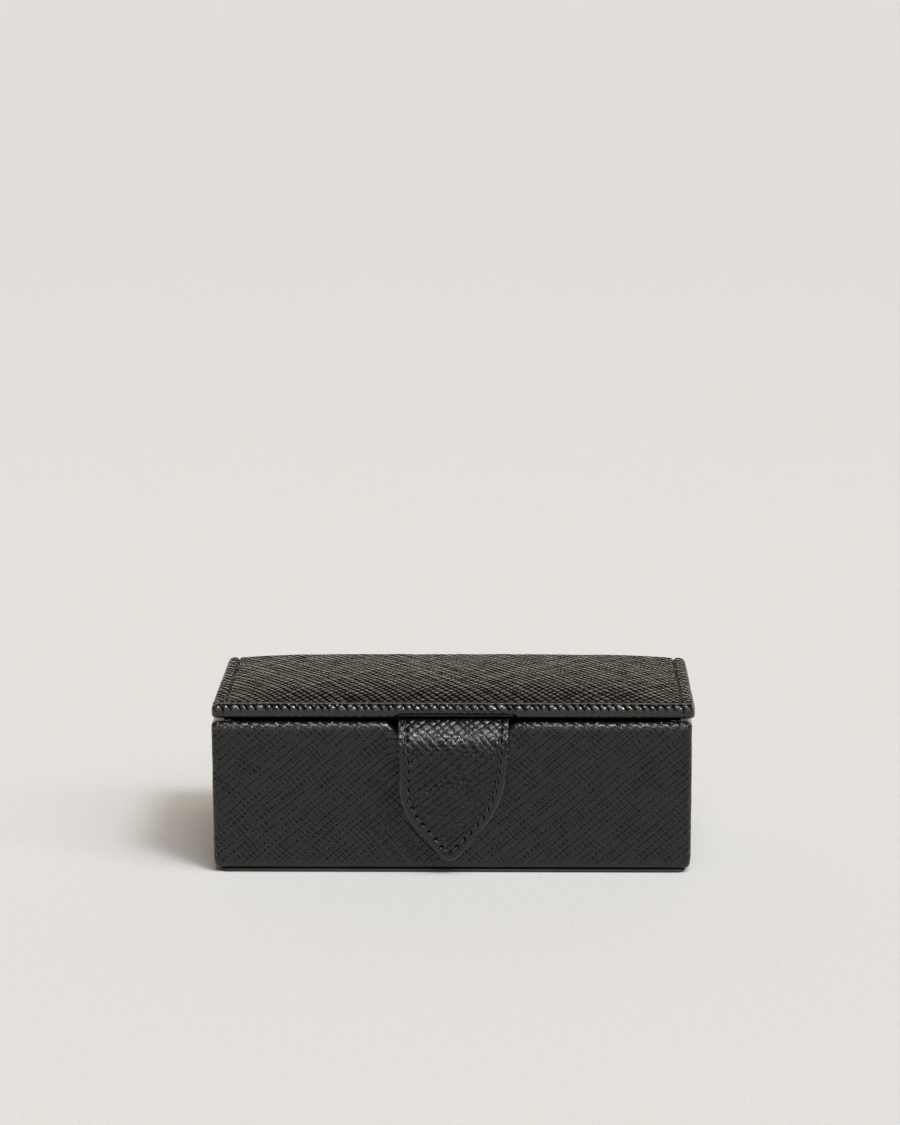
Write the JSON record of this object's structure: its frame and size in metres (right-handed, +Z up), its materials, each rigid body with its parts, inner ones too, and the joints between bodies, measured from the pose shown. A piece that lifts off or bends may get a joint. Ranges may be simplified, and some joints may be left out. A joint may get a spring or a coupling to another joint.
{
  "type": "cufflink box",
  "caption": "Small leather-covered box with a hinged padded lid, a pointed tab that folds over the front and holds by a hidden magnet, and a lined grid of cells inside.",
  "frame": {"origin": "underside of the sole, at the middle of the case", "axes": "+X along the width, to the right seen from the front; the front faces -Y; +Z up"},
  "size_m": [0.1254, 0.0608, 0.047],
  "materials": {
    "board": "grey-brown case board, matt",
    "card": "thin card, matt",
    "grained_leather": "black, embossed cross grain, low sheen",
    "sole_leather": "black, smooth, matt",
    "tab_lining": "black, smooth, satin",
    "suede": "black microsuede with a short nap",
    "foam": "thin grey foam",
    "magnet": "nickel-plated"
  },
  "bodies": {
    "case": {"front_board": "board", "back_board": "board", "left_board": "board", "right_board": "board", "bottom_board": "board", "case_leather": "grained_leather", "base_infill": "card", "sole": "sole_leather", "back_leather": "grained_leather", "front_lining": "suede", "back_lining": "suede", "left_lining": "suede", "right_lining": "suede", "floor_pad": "suede", "long_divider": "suede", "cross_divider_1": "suede", "cross_divider_2": "suede", "cross_divider_3": "suede", "case_magnet": "magnet"},
    "lid": {"lid_board": "board", "lid_foam": "foam", "lid_leather": "grained_leather", "lid_infill": "card", "lid_lining": "suede", "hinge_fold": "grained_leather", "tab_root": "grained_leather"},
    "tab": {"tab_fold": "grained_leather", "tab_face": "grained_leather", "tab_back": "tab_lining", "tab_magnet": "magnet"}
  },
  "joints": [
    {"name": "lid_hinge", "type": "hinge", "parent": "case", "child": "lid", "pos_m": [0, 0.0292, 0.04085], "axis": [-1, 0, 0], "range_deg": [0, 105], "deforming": ["hinge_fold"]},
    {"name": "tab_hinge", "type": "hinge", "parent": "lid", "child": "tab", "pos_m": [0, -0.02945, 0.03995], "axis": [-1, 0, 0], "range_deg": [0, 110], "deforming": ["tab_fold"]}
  ]
}
